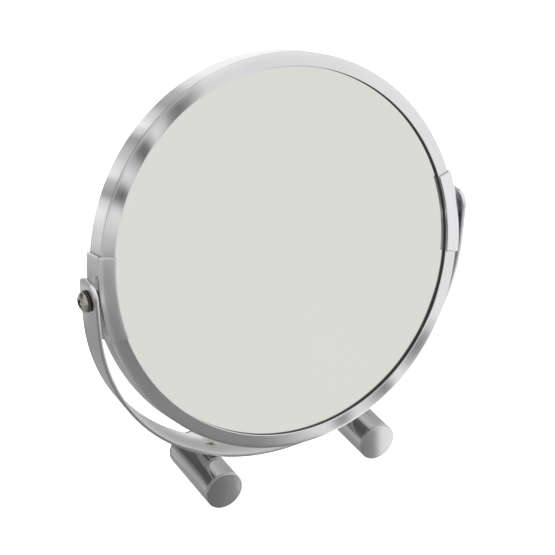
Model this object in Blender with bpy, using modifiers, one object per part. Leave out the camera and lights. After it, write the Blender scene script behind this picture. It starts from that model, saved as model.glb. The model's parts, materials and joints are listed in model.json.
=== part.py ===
"""Table shaving mirror: a round two-sided head that turns in a U-shaped yoke on two tube feet.

Units are metres and +Z is up. +X runs along the pivot axis to the right, and the front is -Y.
The origin is on the table, straight below the middle of the pivot axis.
"""
import math

import bmesh
import bpy

MM = 0.001
GAP = 0.3 * MM                      # between pieces that touch on the real object

# Mirror head. Its own axis is the glass's normal, and z counts from the middle of its depth.
RIM_RADIUS = 92.0 * MM
RIM_HALF_DEPTH = 7.3 * MM
RIM_SHEET = 0.6 * MM
RIM_CORNER = 0.9 * MM
LIP_RADIUS = 85.5 * MM              # inner edge of the rim's flat faces
LIP_TO_GLASS = 1.66 * MM            # how far the glass lies below the rim's face
GLASS_RADIUS = 88.6 * MM
GLASS_THICKNESS = 2.0 * MM
REAR_GLASS_SAG = 2.4 * MM           # depth of the magnifying glass's hollow
SEAL_THICKNESS = 0.46 * MM
SPACER_RADII = (83.0 * MM, 86.4 * MM)
BOARD_RADIUS = 80.0 * MM
BOARD_THICKNESS = 2.0 * MM
HEAD_LEAN = math.radians(15.0)      # the head leans back at rest

# Pivots, counted along X from the middle of the head outwards
CLIP_HALF_SPAN = math.radians(12.4)
CLIP_SHEET = 1.0 * MM
CLIP_CORNER = 0.8 * MM
INNER_WASHER = (4.0 * MM, 0.5 * MM)  # radius, thickness
OUTER_WASHER = (5.0 * MM, 0.5 * MM)
PIVOT_SHANK_RADIUS = 2.0 * MM
PIVOT_RUNNING_GAP = 0.1 * MM
PIVOT_HEAD_RADIUS = 4.7 * MM
PIVOT_HEAD_HEIGHT = 3.0 * MM
INSERT_RADIUS = 3.3 * MM
INSERT_LENGTH = 4.1 * MM

# Yoke: a half circle whose centre lies below the pivot axis, with straight legs that lean out
YOKE_RADIUS = 96.1 * MM
YOKE_THICKNESS = 2.0 * MM
YOKE_WIDTH = 16.6 * MM
YOKE_DROP = 9.1 * MM                # from the pivot axis down to the half circle's centre
TAB_TOP = 9.8 * MM                  # from the pivot axis up to the tab's end
TAB_CORNER = 6.2 * MM
LEG_LEAN = math.radians(2.5)        # outwards from upright
YOKE_EDGE = 0.3 * MM

# Feet
FOOT_RADIUS = 9.5 * MM
FOOT_WALL = 1.2 * MM
FOOT_HALF_SPACING = 42.1 * MM
FOOT_FRONT = 23.6 * MM
FOOT_REAR = 17.0 * MM
CAP_FLANGE = 1.0 * MM
CAP_STEM = 5.0 * MM
BLOCK_LENGTH = 12.0 * MM
PAD_DROP = 1.0 * MM                 # the tubes stand this far above the table
PAD_SIZE = (7.0 * MM, 26.0 * MM, 1.5 * MM)
FOOT_SCREW_HEAD = 3.1 * MM
FOOT_SCREW_SHANK = 1.5 * MM
FOOT_SCREW_LENGTH = 12.0 * MM

# Worked out from the sizes above
FOOT_DISTANCE = YOKE_RADIUS + GAP + FOOT_RADIUS
FOOT_ANGLE = math.asin(FOOT_HALF_SPACING / FOOT_DISTANCE)
FOOT_Z = PAD_DROP + FOOT_RADIUS
YOKE_CENTRE_Z = FOOT_Z + FOOT_DISTANCE * math.cos(FOOT_ANGLE)
PIVOT_Z = YOKE_CENTRE_Z + YOKE_DROP
GLASS_FACE = RIM_HALF_DEPTH - LIP_TO_GLASS
GLASS_BACK = GLASS_FACE - GLASS_THICKNESS
CLIP_OUTSIDE = RIM_RADIUS + GAP + CLIP_SHEET
INNER_WASHER_X = CLIP_OUTSIDE + GAP
LEG_RISE = YOKE_DROP + OUTER_WASHER[0]
OUTER_WASHER_X = YOKE_RADIUS / math.cos(LEG_LEAN) + LEG_RISE * math.tan(LEG_LEAN) + GAP
SCREW_SEAT_X = OUTER_WASHER_X + OUTER_WASHER[1] + GAP
INSERT_X = RIM_RADIUS - RIM_SHEET - GAP
SIDES = (("left", -1), ("right", 1))

RING_STEPS = 72
TUBE_STEPS = 32
SMALL_STEPS = 24

FINISHES = {                        # base colour, roughness, metallic
    "satin_silver": ((0.50, 0.50, 0.52), 0.42, 0.7),
    "polished_steel": ((0.72, 0.72, 0.73), 0.18, 1.0),
    "chrome": ((0.80, 0.80, 0.82), 0.06, 1.0),
    "cap_silver": ((0.42, 0.42, 0.43), 0.38, 0.8),
    "nickel": ((0.60, 0.57, 0.52), 0.20, 1.0),
    "mirror_glass": ((0.78, 0.79, 0.76), 0.02, 1.0),
    "black_rubber": ((0.02, 0.02, 0.025), 0.60, 0.0),
    "black_nylon": ((0.03, 0.03, 0.03), 0.50, 0.0),
    "white_nylon": ((0.75, 0.75, 0.72), 0.50, 0.0),
    "brass": ((0.70, 0.52, 0.25), 0.30, 1.0),
    "grey_board": ((0.35, 0.33, 0.30), 0.85, 0.0),
    "clear_silicone": ((0.70, 0.72, 0.72), 0.30, 0.0),
}


def clear_scene():
    for item in list(bpy.data.objects):
        bpy.data.objects.remove(item, do_unlink=True)


def new_collection(name):
    collection = bpy.data.collections.new(name)
    bpy.context.scene.collection.children.link(collection)
    return collection


def finish_material(piece_name, finish):
    """A Principled material of its own for one piece."""
    colour, roughness, metallic = FINISHES[finish]
    material = bpy.data.materials.new(piece_name + "_" + finish)
    material.use_nodes = True
    shader = material.node_tree.nodes["Principled BSDF"]
    shader.inputs["Base Color"].default_value = (*colour, 1.0)
    shader.inputs["Roughness"].default_value = roughness
    shader.inputs["Metallic"].default_value = metallic
    return material


def arc(centre, radius, start, end, steps):
    """Points on a round stretch, both ends included; angles in radians."""
    points = []
    for index in range(steps + 1):
        angle = start + (end - start) * index / steps
        points.append((centre[0] + radius * math.cos(angle), centre[1] + radius * math.sin(angle)))
    return points


def line_mesh(name, points, closed):
    """Points (r, z) in the XZ plane, joined in order."""
    mesh = bpy.data.meshes.new(name)
    edges = [(index, index + 1) for index in range(len(points) - 1)]
    if closed:
        edges.append((len(points) - 1, 0))
    mesh.from_pydata([(r, 0.0, z) for r, z in points], edges, [])
    return mesh


def evaluated_mesh(item):
    """The mesh of an object with its modifiers applied; the object is removed."""
    name = item.name
    graph = bpy.context.evaluated_depsgraph_get()
    mesh = bpy.data.meshes.new_from_object(item.evaluated_get(graph))
    bpy.data.objects.remove(item, do_unlink=True)
    mesh.name = name
    return mesh


def shade(mesh):
    mesh.shade_smooth()
    mesh.set_sharp_from_angle(angle=math.radians(35.0))


def turned_mesh(name, points, closed=False, steps=RING_STEPS, angle=math.tau):
    """A profile (r, z) turned about Z. The outer side of the profile runs from top to bottom."""
    item = bpy.data.objects.new(name, line_mesh(name, points, closed))
    bpy.context.scene.collection.objects.link(item)
    screw = item.modifiers.new("Turn", "SCREW")
    screw.axis = "Z"
    screw.angle = angle
    screw.steps = steps
    screw.render_steps = steps
    screw.use_merge_vertices = angle == math.tau
    screw.merge_threshold = 0.00001
    mesh = evaluated_mesh(item)
    shade(mesh)
    return mesh


def flat_mesh(name, points, thickness):
    """A flat outline in XY with the given thickness, its underside at z = 0."""
    curve = bpy.data.curves.new(name, "CURVE")
    curve.dimensions = "2D"
    curve.fill_mode = "BOTH"
    curve.extrude = thickness / 2
    spline = curve.splines.new("POLY")
    spline.points.add(len(points) - 1)
    for point, (x, y) in zip(spline.points, points):
        point.co = (x, y, 0.0, 1.0)
    spline.use_cyclic_u = True
    item = bpy.data.objects.new(name, curve)
    bpy.context.scene.collection.objects.link(item)
    mesh = evaluated_mesh(item)
    solid = bmesh.new()
    solid.from_mesh(mesh)
    bmesh.ops.remove_doubles(solid, verts=solid.verts, dist=0.00001)
    bmesh.ops.translate(solid, verts=solid.verts, vec=(0.0, 0.0, thickness / 2))
    solid.to_mesh(mesh)
    solid.free()
    return mesh


def cylinder_mesh(name, radius, length, steps=SMALL_STEPS):
    """A closed cylinder along Z about the origin."""
    mesh = bpy.data.meshes.new(name)
    solid = bmesh.new()
    bmesh.ops.create_cone(
        solid, cap_ends=True, segments=steps, radius1=radius, radius2=radius, depth=length)
    solid.to_mesh(mesh)
    solid.free()
    shade(mesh)
    return mesh


def place(name, mesh, finish, collection, location=(0, 0, 0), rotation=(0, 0, 0), parent=None):
    item = bpy.data.objects.new(name, mesh)
    item.location = location
    item.rotation_euler = rotation
    item.parent = parent
    mesh.materials.clear()
    mesh.materials.append(finish_material(name, finish))
    collection.objects.link(item)
    return item


def place_cutter(name, mesh, collection, location=(0, 0, 0), rotation=(0, 0, 0), parent=None):
    item = bpy.data.objects.new(name, mesh)
    item.location = location
    item.rotation_euler = rotation
    item.parent = parent
    item.hide_render = True
    item.display_type = "WIRE"
    collection.objects.link(item)
    return item


def cut(item, *cutters):
    for cutter in cutters:
        boolean = item.modifiers.new("Cut", "BOOLEAN")
        boolean.operation = "DIFFERENCE"
        boolean.object = cutter


def recess_meshes(name, length, width, depth):
    """Two crossed wedges, narrower at the bottom, for a cross recess cut from z = 0 downwards."""
    meshes = []
    for index, (x, y) in enumerate(((length, width), (width, length))):
        mesh = bpy.data.meshes.new("%s_%d" % (name, index))
        wedge = bmesh.new()
        bmesh.ops.create_cube(wedge, size=1.0)
        bmesh.ops.scale(wedge, vec=(x, y, 2 * depth), verts=wedge.verts)
        low = [vert for vert in wedge.verts if vert.co.z < 0]
        bmesh.ops.scale(wedge, vec=(0.55, 0.55, 1.0), verts=low)
        wedge.to_mesh(mesh)
        wedge.free()
        meshes.append(mesh)
    return meshes


# The stand: yoke and feet

def yoke_mesh():
    """A band as a sheet in its middle plane; z counts from the pivot axis."""
    middle = YOKE_RADIUS - YOKE_THICKNESS / 2
    leg_top = middle / math.cos(LEG_LEAN) + (YOKE_DROP + TAB_TOP) * math.tan(LEG_LEAN)
    path = [(-leg_top, TAB_TOP)]
    path += arc((0.0, -YOKE_DROP), middle, math.pi + LEG_LEAN, math.tau - LEG_LEAN, 48)
    path += [(leg_top, TAB_TOP)]
    mesh = line_mesh("yoke", path, closed=False)
    sheet = bmesh.new()
    sheet.from_mesh(mesh)
    bmesh.ops.translate(sheet, verts=sheet.verts, vec=(0.0, -YOKE_WIDTH / 2, 0.0))
    swept = bmesh.ops.extrude_edge_only(sheet, edges=list(sheet.edges))["geom"]
    moved = [part for part in swept if isinstance(part, bmesh.types.BMVert)]
    bmesh.ops.translate(sheet, verts=moved, vec=(0.0, YOKE_WIDTH, 0.0))
    corners = [vert for vert in sheet.verts if vert.co.z > TAB_TOP - GAP]
    bmesh.ops.bevel(
        sheet, geom=corners, offset=TAB_CORNER, offset_type="OFFSET",
        segments=8, profile=0.5, affect="VERTICES")
    sheet.to_mesh(mesh)
    sheet.free()
    mesh.shade_smooth()
    return mesh


def foot_screw_seat(side):
    """Where the foot screw meets the yoke's inside, and its turn about Y."""
    radius = YOKE_RADIUS - YOKE_THICKNESS
    x = side * radius * math.sin(FOOT_ANGLE)
    z = YOKE_CENTRE_Z - radius * math.cos(FOOT_ANGLE)
    return (x, 0.0, z), (0.0, -side * FOOT_ANGLE, 0.0)


def make_yoke(parts, pivot_cutter, foot_cutters):
    yoke = place("yoke", yoke_mesh(), "satin_silver", parts, location=(0, 0, PIVOT_Z))
    solidify = yoke.modifiers.new("Thickness", "SOLIDIFY")
    solidify.thickness = YOKE_THICKNESS
    solidify.offset = 0.0
    solidify.use_even_offset = True
    bevel = yoke.modifiers.new("Edges", "BEVEL")
    bevel.width = YOKE_EDGE
    bevel.segments = 2
    bevel.limit_method = "ANGLE"
    bevel.angle_limit = math.radians(60.0)
    cut(yoke, pivot_cutter, *foot_cutters)
    return yoke


def foot_cutter_mesh():
    """Countersink in the yoke and the screw hole below it; z = 0 is the yoke's inside."""
    top = 1.0 * MM
    rim = FOOT_SCREW_HEAD + GAP * math.sqrt(2)
    hole = FOOT_SCREW_SHANK + GAP
    points = [
        (0.0, top),
        (rim + top, top),
        (hole, hole - rim),
        (hole, -FOOT_SCREW_LENGTH - 2 * MM),
        (0.0, -FOOT_SCREW_LENGTH - 2 * MM),
    ]
    return turned_mesh("foot_screw_hole", points, steps=SMALL_STEPS)


def foot_screw_mesh():
    crown = 0.25 * MM
    neck = FOOT_SCREW_SHANK - FOOT_SCREW_HEAD
    points = [
        (0.0, crown),
        (FOOT_SCREW_HEAD * 0.6, crown * 0.7),
        (FOOT_SCREW_HEAD, 0.0),
        (FOOT_SCREW_SHANK, neck),
        (FOOT_SCREW_SHANK, -FOOT_SCREW_LENGTH),
        (0.0, -FOOT_SCREW_LENGTH),
    ]
    return turned_mesh("foot_screw", points, steps=SMALL_STEPS)


def foot_tube_mesh(length):
    inner = FOOT_RADIUS - FOOT_WALL
    chamfer = 0.2 * MM
    half = length / 2
    points = [
        (inner, half),
        (FOOT_RADIUS - chamfer, half),
        (FOOT_RADIUS, half - chamfer),
        (FOOT_RADIUS, chamfer - half),
        (FOOT_RADIUS - chamfer, -half),
        (inner, -half),
    ]
    return turned_mesh("foot_tube", points, closed=True, steps=TUBE_STEPS)


def foot_cap_mesh():
    """Flat end cap with a stem; z = 0 is its outer face."""
    chamfer = 0.3 * MM
    stem = FOOT_RADIUS - FOOT_WALL - GAP
    bottom = -CAP_FLANGE - CAP_STEM
    points = [
        (0.0, 0.0),
        (FOOT_RADIUS - chamfer, 0.0),
        (FOOT_RADIUS, -chamfer),
        (FOOT_RADIUS, -CAP_FLANGE),
        (stem, -CAP_FLANGE),
        (stem, bottom),
        (0.0, bottom),
    ]
    return turned_mesh("foot_cap", points, steps=TUBE_STEPS)


def foot_pad_mesh():
    """A pad with round corners, its underside at z = 0."""
    width, length, height = PAD_SIZE
    corner = 1.5 * MM
    outline = []
    for quarter, (sx, sy) in enumerate(((1, 1), (-1, 1), (-1, -1), (1, -1))):
        centre = (sx * (width / 2 - corner), sy * (length / 2 - corner))
        start = quarter * math.pi / 2
        outline += arc(centre, corner, start, start + math.pi / 2, 4)
    return flat_mesh("foot_pad", outline, height)


def make_foot(label, side, parts, cutters, foot_cutter):
    x = side * FOOT_HALF_SPACING
    tube_front = FOOT_FRONT - CAP_FLANGE - GAP
    tube_rear = FOOT_REAR - CAP_FLANGE - GAP
    along_y = (math.pi / 2, 0.0, 0.0)          # a piece's +Z turns to the front
    middle = (tube_rear - tube_front) / 2
    tube = place("foot_tube_" + label, foot_tube_mesh(tube_front + tube_rear), "chrome", parts,
                 location=(x, middle, FOOT_Z), rotation=along_y)
    cut(tube, foot_cutter)
    place("foot_cap_front_" + label, foot_cap_mesh(), "cap_silver", parts,
          location=(x, -FOOT_FRONT, FOOT_Z), rotation=along_y)
    place("foot_cap_rear_" + label, foot_cap_mesh(), "cap_silver", parts,
          location=(x, FOOT_REAR, FOOT_Z), rotation=(-math.pi / 2, 0.0, 0.0))
    block = cylinder_mesh("foot_block", FOOT_RADIUS - FOOT_WALL - GAP, BLOCK_LENGTH, TUBE_STEPS)
    block = place("foot_block_" + label, block, "brass", parts,
                  location=(x, 0.0, FOOT_Z), rotation=along_y)
    cut(block, foot_cutter)
    seat, turn = foot_screw_seat(side)
    screw = place("foot_screw_" + label, foot_screw_mesh(), "nickel", parts,
                  location=seat, rotation=turn)
    recess = recess_meshes("foot_recess_" + label, 3.4 * MM, 0.7 * MM, 0.9 * MM)
    for index, mesh in enumerate(recess):
        cutter = place_cutter("foot_recess_%s_%d" % (label, index), mesh, cutters,
                              location=seat, rotation=turn)
        cut(screw, cutter)
    pad = place("foot_pad_" + label, foot_pad_mesh(), "clear_silicone", parts,
                location=(x, middle, 0.0))
    hollow = cylinder_mesh("pad_hollow", FOOT_RADIUS + GAP, 2 * PAD_SIZE[1], TUBE_STEPS)
    cut(pad, place_cutter("pad_hollow_" + label, hollow, cutters,
                          location=(x, middle, FOOT_Z), rotation=along_y))


# The mirror head. Every piece is made about the glass's normal, which is its +Z.

def rim_mesh():
    """Sheet rim: a cylinder with a flat lip folded in at the front and at the rear."""
    outer_z = RIM_HALF_DEPTH - RIM_CORNER
    outer_r = RIM_RADIUS - RIM_CORNER
    inner_corner = RIM_CORNER - RIM_SHEET
    points = [(LIP_RADIUS, RIM_HALF_DEPTH)]
    points += arc((outer_r, outer_z), RIM_CORNER, math.pi / 2, 0.0, 3)
    points += arc((outer_r, -outer_z), RIM_CORNER, 0.0, -math.pi / 2, 3)
    points += [(LIP_RADIUS, -RIM_HALF_DEPTH), (LIP_RADIUS, RIM_SHEET - RIM_HALF_DEPTH)]
    points += arc((outer_r, -outer_z), inner_corner, -math.pi / 2, 0.0, 1)
    points += arc((outer_r, outer_z), inner_corner, 0.0, math.pi / 2, 1)
    points += [(LIP_RADIUS, RIM_HALF_DEPTH - RIM_SHEET)]
    return turned_mesh("rim", points, closed=True)


def band_points(inner, outer, top, bottom):
    """A ring of rectangular section."""
    return [(inner, top), (outer, top), (outer, bottom), (inner, bottom)]


def disc_points(radius, top, bottom):
    return [(0.0, top), (radius, top), (radius, bottom), (0.0, bottom)]


def rear_glass_points():
    """A disc of even thickness whose visible side, below, is hollow."""
    rings = 5
    face = []
    for index in range(rings + 1):
        part = index / rings
        face.append((GLASS_RADIUS * part, REAR_GLASS_SAG * (1 - part ** 2) - GLASS_FACE))
    back = [(r, z + GLASS_THICKNESS) for r, z in face]
    return back + face[::-1]


def clip_mesh():
    """A U-shaped plate over the rim, as a sheet on its inside; it starts at +X."""
    r = RIM_RADIUS + GAP
    z = RIM_HALF_DEPTH + GAP
    corner = CLIP_CORNER
    points = [(LIP_RADIUS, z)]
    points += arc((r - corner, z - corner), corner, math.pi / 2, 0.0, 3)
    points += arc((r - corner, corner - z), corner, 0.0, -math.pi / 2, 3)
    points += [(LIP_RADIUS, -z)]
    return turned_mesh("pivot_clip", points, steps=8, angle=2 * CLIP_HALF_SPAN)


def pivot_screw_mesh():
    """Domed head above z = 0 and a shank below it."""
    edge = 0.4 * MM
    length = SCREW_SEAT_X - INSERT_X + INSERT_LENGTH - GAP
    points = []
    for index in range(6):
        angle = index / 5 * math.pi / 2
        height = edge + (PIVOT_HEAD_HEIGHT - edge) * math.cos(angle)
        points.append((PIVOT_HEAD_RADIUS * math.sin(angle), height))
    points[0] = (0.0, PIVOT_HEAD_HEIGHT)
    points += [
        (PIVOT_HEAD_RADIUS - edge / 2, 0.0),
        (PIVOT_SHANK_RADIUS, 0.0),
        (PIVOT_SHANK_RADIUS, -length),
        (0.0, -length),
    ]
    return turned_mesh("pivot_screw", points, steps=SMALL_STEPS)


def washer_mesh(name, size):
    radius, thickness = size
    points = band_points(PIVOT_SHANK_RADIUS + GAP, radius, thickness, 0.0)
    return turned_mesh(name, points, closed=True, steps=SMALL_STEPS)


def make_pivot(label, side, parts, cutters, head):
    """The pieces on one end of the pivot axis; each one's +Z points outwards along X."""
    outwards = (0.0, side * math.pi / 2, 0.0)
    middle_angle = 0.0 if side > 0 else math.pi
    clip = place("pivot_clip_" + label, clip_mesh(), "satin_silver", parts,
                 rotation=(0.0, 0.0, middle_angle - CLIP_HALF_SPAN), parent=head)
    solidify = clip.modifiers.new("Thickness", "SOLIDIFY")
    solidify.thickness = CLIP_SHEET
    solidify.offset = 1.0
    solidify.use_even_offset = True
    hole = cylinder_mesh("clip_hole", PIVOT_SHANK_RADIUS + GAP, 20 * MM)
    hole = place_cutter("clip_hole_" + label, hole, cutters,
                        location=(side * RIM_RADIUS, 0.0, 0.0), rotation=outwards, parent=head)
    cut(clip, hole)
    insert = band_points(PIVOT_SHANK_RADIUS + GAP, INSERT_RADIUS, 0.0, -INSERT_LENGTH)
    insert = turned_mesh("pivot_insert", insert, closed=True, steps=SMALL_STEPS)
    place("pivot_insert_" + label, insert, "brass", parts,
          location=(side * INSERT_X, 0.0, 0.0), rotation=outwards, parent=head)
    place("pivot_washer_inner_" + label, washer_mesh("inner_washer", INNER_WASHER), "white_nylon",
          parts, location=(side * INNER_WASHER_X, 0.0, 0.0), rotation=outwards, parent=head)
    place("pivot_washer_outer_" + label, washer_mesh("outer_washer", OUTER_WASHER), "black_nylon",
          parts, location=(side * OUTER_WASHER_X, 0.0, 0.0), rotation=outwards, parent=head)
    screw = place("pivot_screw_" + label, pivot_screw_mesh(), "nickel", parts,
                  location=(side * SCREW_SEAT_X, 0.0, 0.0), rotation=outwards, parent=head)
    top = side * (SCREW_SEAT_X + PIVOT_HEAD_HEIGHT)
    recess = recess_meshes("pivot_recess_" + label, 5.0 * MM, 1.1 * MM, 1.7 * MM)
    for index, mesh in enumerate(recess):
        cutter = place_cutter("pivot_recess_%s_%d" % (label, index), mesh, cutters,
                              location=(top, 0.0, 0.0), rotation=outwards, parent=head)
        cut(screw, cutter)
    return hole


def make_head(parts, cutters):
    head = bpy.data.objects.new("head_pivot", None)
    head.location = (0.0, 0.0, PIVOT_Z)
    head.rotation_euler = (math.pi / 2 - HEAD_LEAN, 0.0, 0.0)
    parts.objects.link(head)
    rim = place("rim", rim_mesh(), "polished_steel", parts, parent=head)
    for label, side in SIDES:
        cut(rim, make_pivot(label, side, parts, cutters, head))
    front_glass = disc_points(GLASS_RADIUS, GLASS_FACE, GLASS_BACK)
    place("glass_front", turned_mesh("glass_front", front_glass), "mirror_glass", parts,
          parent=head)
    place("glass_rear", turned_mesh("glass_rear", rear_glass_points()), "mirror_glass", parts,
          parent=head)
    seal_bottom = GLASS_FACE + GAP
    seal = band_points(LIP_RADIUS + 0.1 * MM, GLASS_RADIUS, seal_bottom + SEAL_THICKNESS,
                       seal_bottom)
    place("seal_front", turned_mesh("seal_front", seal, closed=True), "black_rubber", parts,
          parent=head)
    place("seal_rear", turned_mesh("seal_rear", seal, closed=True), "black_rubber", parts,
          rotation=(math.pi, 0.0, 0.0), parent=head)
    spacer = band_points(*SPACER_RADII, GLASS_BACK - GAP, GAP - GLASS_BACK)
    place("spacer_ring", turned_mesh("spacer_ring", spacer, closed=True), "white_nylon", parts,
          parent=head)
    board_top = GLASS_BACK - GAP
    board = disc_points(BOARD_RADIUS, board_top, board_top - BOARD_THICKNESS)
    place("backing_board", turned_mesh("backing_board", board, steps=48), "grey_board", parts,
          parent=head)


def main():
    clear_scene()
    parts = new_collection("shaving_mirror")
    cutters = new_collection("cutters")
    pivot_hole = cylinder_mesh(
        "pivot_hole", PIVOT_SHANK_RADIUS + PIVOT_RUNNING_GAP, 2.2 * YOKE_RADIUS)
    pivot_hole = place_cutter("pivot_hole", pivot_hole, cutters,
                              location=(0.0, 0.0, PIVOT_Z), rotation=(0.0, math.pi / 2, 0.0))
    foot_cutters = {}
    for label, side in SIDES:
        seat, turn = foot_screw_seat(side)
        foot_cutters[label] = place_cutter("foot_screw_hole_" + label, foot_cutter_mesh(), cutters,
                                           location=seat, rotation=turn)
        make_foot(label, side, parts, cutters, foot_cutters[label])
    make_yoke(parts, pivot_hole, list(foot_cutters.values()))
    make_head(parts, cutters)
    bpy.context.view_layer.update()


main()
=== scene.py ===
"""Look of a two-sided table shaving mirror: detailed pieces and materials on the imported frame.

Metres, +Z up, front towards -Y.
"""
import json
import math

import bmesh
import bpy
from mathutils import Matrix, Vector


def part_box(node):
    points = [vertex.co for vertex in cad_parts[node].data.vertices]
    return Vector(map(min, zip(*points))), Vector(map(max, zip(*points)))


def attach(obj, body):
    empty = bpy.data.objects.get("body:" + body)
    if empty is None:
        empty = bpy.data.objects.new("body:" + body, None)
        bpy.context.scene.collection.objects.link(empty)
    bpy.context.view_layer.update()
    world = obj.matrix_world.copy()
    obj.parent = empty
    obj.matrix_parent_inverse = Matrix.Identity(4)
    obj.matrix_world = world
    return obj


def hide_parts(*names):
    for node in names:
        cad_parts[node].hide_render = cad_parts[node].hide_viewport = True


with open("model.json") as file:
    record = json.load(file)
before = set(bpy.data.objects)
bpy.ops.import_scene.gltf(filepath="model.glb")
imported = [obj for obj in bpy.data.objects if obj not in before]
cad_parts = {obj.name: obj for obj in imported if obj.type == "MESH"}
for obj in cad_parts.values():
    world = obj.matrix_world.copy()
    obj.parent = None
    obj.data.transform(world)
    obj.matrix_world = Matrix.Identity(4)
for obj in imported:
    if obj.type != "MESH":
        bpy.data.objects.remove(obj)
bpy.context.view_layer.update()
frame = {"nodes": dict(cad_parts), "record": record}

MM = 0.001
TAU = math.tau
SIDES = (("left", -1), ("right", 1))

# Sizes of the head
LEAN = math.radians(15.0)               # back from upright
LIP_WIDTH = 6.5 * MM                    # from the rim's side to the hem of its lip
FACE_TOP = 7.6 * MM                     # height of the crowned face at its hem
FACE_SLOPES = (math.radians(6.5), math.radians(11.5))   # at the hem and at the corner
CORNER = 0.6 * MM
HEM = 0.25 * MM
SHEET = 0.5 * MM
GLASS_FACE = FACE_TOP - 1.7 * MM
GLASS_THICKNESS = 2.0 * MM
GLASS_CHAMFER = 0.25 * MM
REAR_SAG = 2.4 * MM                     # depth of the magnifying glass's hollow
SEAL_BEAD = 0.12 * MM
CLIP_HALF_SPAN = math.radians(12.4)
CLIP_SHEET = 1.18 * MM
CLIP_GAP = 0.12 * MM
PIVOT_SHANK = 2.0 * MM
PIVOT_HEAD_RADIUS = 4.7 * MM
PIVOT_HEAD_HEIGHT = 3.0 * MM
PIVOT_CROSS = (6.4 * MM, 1.6 * MM, 2.1 * MM)            # length, width and depth
PIVOT_CROSS_TURN = math.radians(45.0)

# Sizes of the stand
YOKE_RADIUS = 96.1 * MM                 # of the half circle; the legs above it lean out
YOKE_SHEET = 2.0 * MM
LEG_LEAN = math.radians(2.5)
TAB_CORNER = 6.2 * MM
PIVOT_HOLE = 2.1 * MM
FOOT_WALL = 1.2 * MM
CAP_FLANGE = 1.0 * MM
CAP_STEM = 5.0 * MM                     # how far a cap reaches into its tube
SEAM = 0.3 * MM                         # between a tube and its cap
FOOT_SCREW_HEAD = 3.1 * MM
FOOT_SCREW_SHANK = 1.5 * MM
FOOT_SCREW_LENGTH = 12.0 * MM
FOOT_CROSS = (3.4 * MM, 0.75 * MM, 0.9 * MM)            # length, width and depth
FOOT_CROSS_TURN = math.radians(25.0)
SINK_DEPTH = 6.0 * MM                   # of the cutter for the yoke's countersunk holes

# Sizes that both share
PLAY = 0.3 * MM                         # between a shank and the hole round it
SHEET_EDGE = 0.22 * MM                  # rounding of the clips' and the yoke's edges
CROWN = 0.25 * MM                       # of the caps and the foot screws

# Steps along an outline
HEM_STEPS = 5
FACE_STEPS = 12
CORNER_STEPS = 8
EDGE_STEPS = 4
TUBE_EDGE_STEPS = 5
CLIP_STEPS = 40
YOKE_STEPS = 160
TAB_STEPS = 14

# Steps round a turned piece
RIM_TURN = 360
GLASS_TURN = 240
TUBE_TURN = 128
SCREW_TURN = 64
FOOT_SCREW_TURN = 56
HOLE_TURN = 48
FOOT_BORE_TURN = 32

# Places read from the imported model
PIVOT = Vector(frame["record"]["behaviour"]["joints"][0]["pos_m"])
RIM_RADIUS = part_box("rim")[1].x
LIP_RADIUS = RIM_RADIUS - LIP_WIDTH
GLASS_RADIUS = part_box("glass_front")[1].x
SCREW_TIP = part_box("pivot_screw_right")[0].x
SCREW_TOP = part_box("pivot_screw_right")[1].x
YOKE_HALF_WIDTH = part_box("yoke")[1].y
YOKE_CENTRE_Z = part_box("yoke")[0].z + YOKE_RADIUS
YOKE_DROP = PIVOT.z - YOKE_CENTRE_Z
TAB_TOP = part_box("yoke")[1].z - PIVOT.z
FOOT_LOW, FOOT_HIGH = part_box("foot_tube_right")
FOOT_X = (FOOT_LOW.x + FOOT_HIGH.x) / 2
FOOT_Z = (FOOT_LOW.z + FOOT_HIGH.z) / 2
FOOT_RADIUS = (FOOT_HIGH.x - FOOT_LOW.x) / 2
FOOT_ANGLE = math.atan2(FOOT_X, YOKE_CENTRE_Z - FOOT_Z)     # round the yoke from its lowest point
CAP_FRONT = -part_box("foot_cap_front_right")[0].y
CAP_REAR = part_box("foot_cap_rear_right")[1].y

# The head's pieces are turned about their own +Z, which HEAD lays along the glass's normal
HEAD = Matrix.Translation(PIVOT) @ Matrix.Rotation(math.pi / 2 - LEAN, 4, "X")
HEAD_UP = Vector((0.0, math.sin(LEAN), math.cos(LEAN)))
HEAD_FRONT = Vector((0.0, -math.cos(LEAN), math.sin(LEAN)))

# The main camera
CAMERA_PLACE = Vector((-0.34539, -0.61597, 0.50370))
CAMERA_FORWARD = Vector((0.42363, 0.75946, -0.49373))
CAMERA_RIGHT = Vector((0.87553, -0.48309, 0.00811))
CAMERA_LENS = 113.59


# Nodes

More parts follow.
